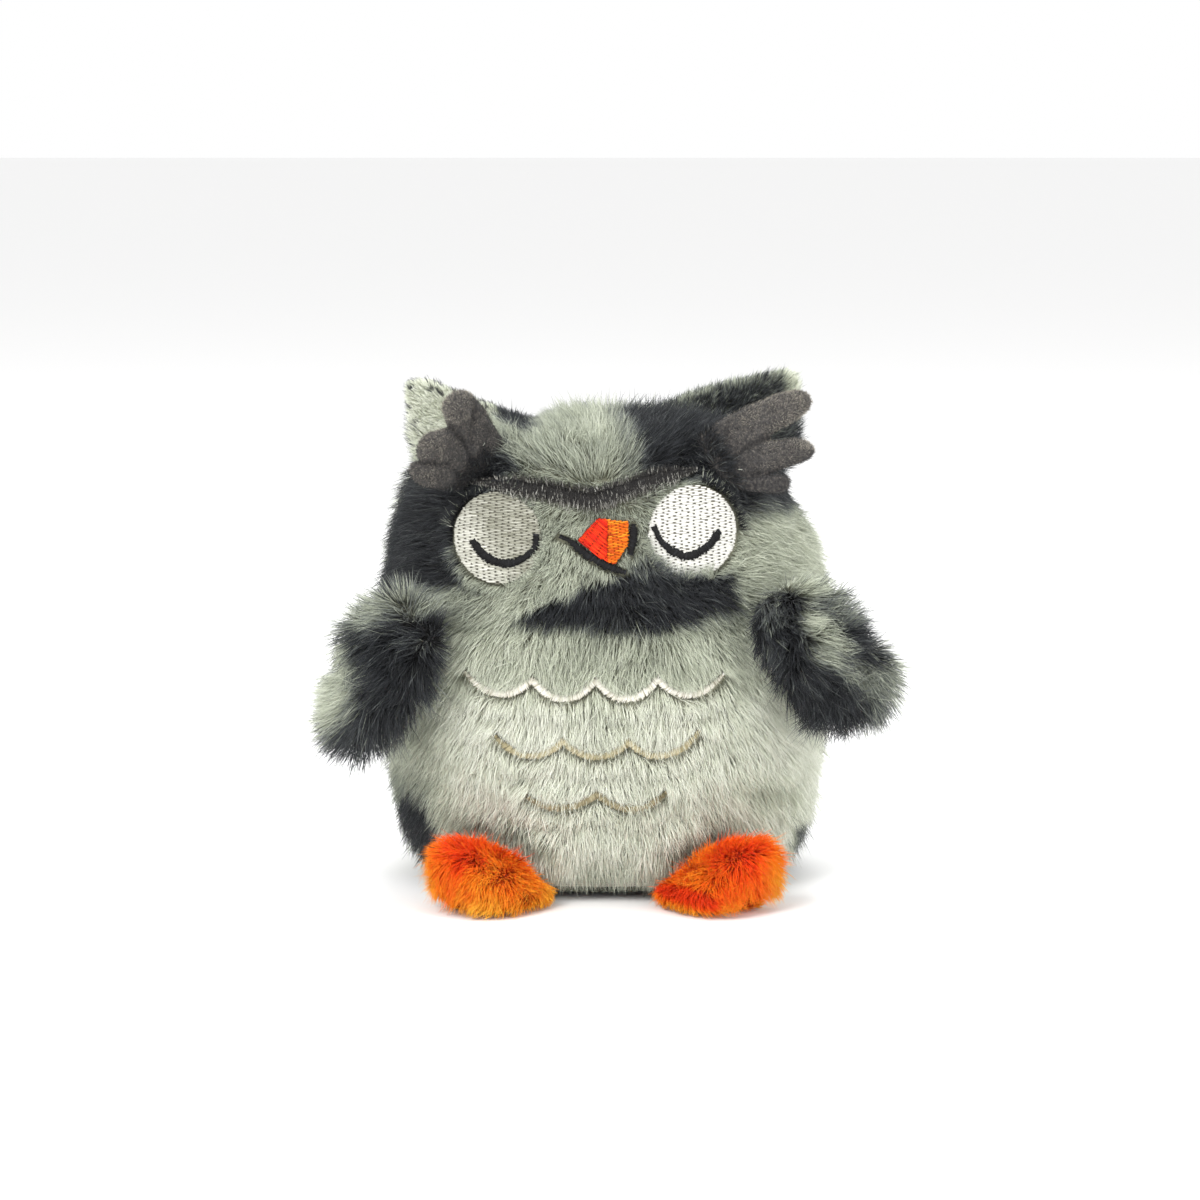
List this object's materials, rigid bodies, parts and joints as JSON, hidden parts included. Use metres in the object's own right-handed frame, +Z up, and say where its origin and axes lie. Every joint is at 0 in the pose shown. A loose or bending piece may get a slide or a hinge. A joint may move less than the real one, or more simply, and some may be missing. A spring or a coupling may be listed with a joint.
{
  "type": "squishy toy",
  "caption": "Soft stuffed owl toy that sits on a flat base, with closed stitched eyes, furry wings, felt tufts and padded feet; it squashes down when pressed.",
  "frame": {"origin": "middle of the flat base the toy rests on", "axes": "+Z up, -Y the way the owl faces, +X toward its own left side"},
  "size_m": [0.1462, 0.1062, 0.1299],
  "materials": {
    "light_pile": "long light grey-green pile, white-tipped",
    "dark_pile": "long charcoal-blue pile, paler tips",
    "orange_pile": "orange pile",
    "felt": "thick brown-grey felt",
    "fibre_fill": "loose fibre filling",
    "pouch_cloth": "plain woven pouch cloth",
    "eye_thread": "white fill stitch",
    "black_thread": "black satin stitch",
    "beak_red_thread": "red-orange fill stitch",
    "beak_orange_thread": "orange fill stitch",
    "brow_thread": "dark grey satin stitch",
    "silver_thread": "silver-cream satin stitch",
    "taupe_thread": "taupe-silver satin stitch",
    "brown_thread": "taupe satin stitch"
  },
  "bodies": {
    "body": {"base_panel": "dark_pile", "belly_panel": "light_pile", "right_back_body_panel": "dark_pile", "left_back_body_panel": "light_pile", "pellet_pouch": "pouch_cloth", "body_stuffing": "fibre_fill", "scallop_row_top": "silver_thread", "scallop_row_middle": "taupe_thread", "scallop_row_bottom": "brown_thread"},
    "head": {"face_panel": "light_pile", "forehead_panel": "light_pile", "right_back_head_panel": "dark_pile", "left_back_head_panel": "light_pile", "head_stuffing": "fibre_fill", "right_eye_patch": "eye_thread", "left_eye_patch": "eye_thread", "right_eyelid_stitch": "black_thread", "left_eyelid_stitch": "black_thread", "beak_right_half": "beak_red_thread", "beak_left_half": "beak_orange_thread", "mouth_right_stitch": "black_thread", "mouth_left_stitch": "black_thread", "brow_stitch": "brow_thread"},
    "right_wing": {"right_wing_outer_panel": "dark_pile", "right_wing_inner_panel": "dark_pile", "right_wing_stuffing": "fibre_fill"},
    "right_foot": {"right_foot_top_panel": "orange_pile", "right_foot_sole": "orange_pile", "right_foot_stuffing": "fibre_fill"},
    "right_ear": {"right_ear_front_panel": "light_pile", "right_ear_back_panel": "dark_pile"},
    "right_tuft": {"right_felt_tuft": "felt"},
    "left_wing": {"left_wing_outer_panel": "dark_pile", "left_wing_inner_panel": "dark_pile", "left_wing_stuffing": "fibre_fill"},
    "left_foot": {"left_foot_top_panel": "orange_pile", "left_foot_sole": "orange_pile", "left_foot_stuffing": "fibre_fill"},
    "left_ear": {"left_ear_front_panel": "dark_pile", "left_ear_back_panel": "dark_pile"},
    "left_tuft": {"left_felt_tuft": "felt"}
  },
  "joints": [
    {"name": "squeeze", "type": "slide", "parent": "body", "child": "head", "axis": [0, 0, 1], "range_m": [-0.016, 0], "stiffness_N_per_m": 600, "deforming": ["belly_panel", "right_back_body_panel", "left_back_body_panel", "scallop_row_top", "scallop_row_middle", "scallop_row_bottom", "body_stuffing"]},
    {"name": "right_wing_flap", "type": "hinge", "parent": "head", "child": "right_wing", "pos_m": [-0.047, -0.034, 0.0745], "axis": [0, 1, 0], "range_deg": [-5, 75], "stiffness_Nm_per_rad": 0.03},
    {"name": "left_wing_flap", "type": "hinge", "parent": "head", "child": "left_wing", "pos_m": [0.045, -0.036, 0.0765], "axis": [0, -1, 0], "range_deg": [-5, 75], "stiffness_Nm_per_rad": 0.03},
    {"name": "right_foot_lift", "type": "hinge", "parent": "body", "child": "right_foot", "pos_m": [-0.0276, -0.0412, 0.0166], "axis": [-1, 0, 0], "range_deg": [-8, 40], "stiffness_Nm_per_rad": 0.02},
    {"name": "left_foot_lift", "type": "hinge", "parent": "body", "child": "left_foot", "pos_m": [0.0276, -0.0412, 0.0166], "axis": [-1, 0, 0], "range_deg": [-8, 40], "stiffness_Nm_per_rad": 0.02},
    {"name": "right_ear_fold", "type": "hinge", "parent": "head", "child": "right_ear", "pos_m": [-0.033, 0.0038, 0.1166], "axis": [-0.9379, 0, -0.347], "range_deg": [0, 60], "stiffness_Nm_per_rad": 0.01},
    {"name": "left_ear_fold", "type": "hinge", "parent": "head", "child": "left_ear", "pos_m": [0.033, 0.0038, 0.1166], "axis": [-0.9379, 0, 0.347], "range_deg": [0, 60], "stiffness_Nm_per_rad": 0.01},
    {"name": "right_tuft_fold", "type": "hinge", "parent": "head", "child": "right_tuft", "pos_m": [-0.0364, -0.0304, 0.1019], "axis": [0.6521, 0.2816, 0.7039], "range_deg": [-60, 15], "stiffness_Nm_per_rad": 0.004},
    {"name": "left_tuft_fold", "type": "hinge", "parent": "head", "child": "left_tuft", "pos_m": [0.0313, -0.0334, 0.1034], "axis": [0.4564, -0.4065, -0.7915], "range_deg": [0, 60], "stiffness_Nm_per_rad": 0.004}
  ]
}
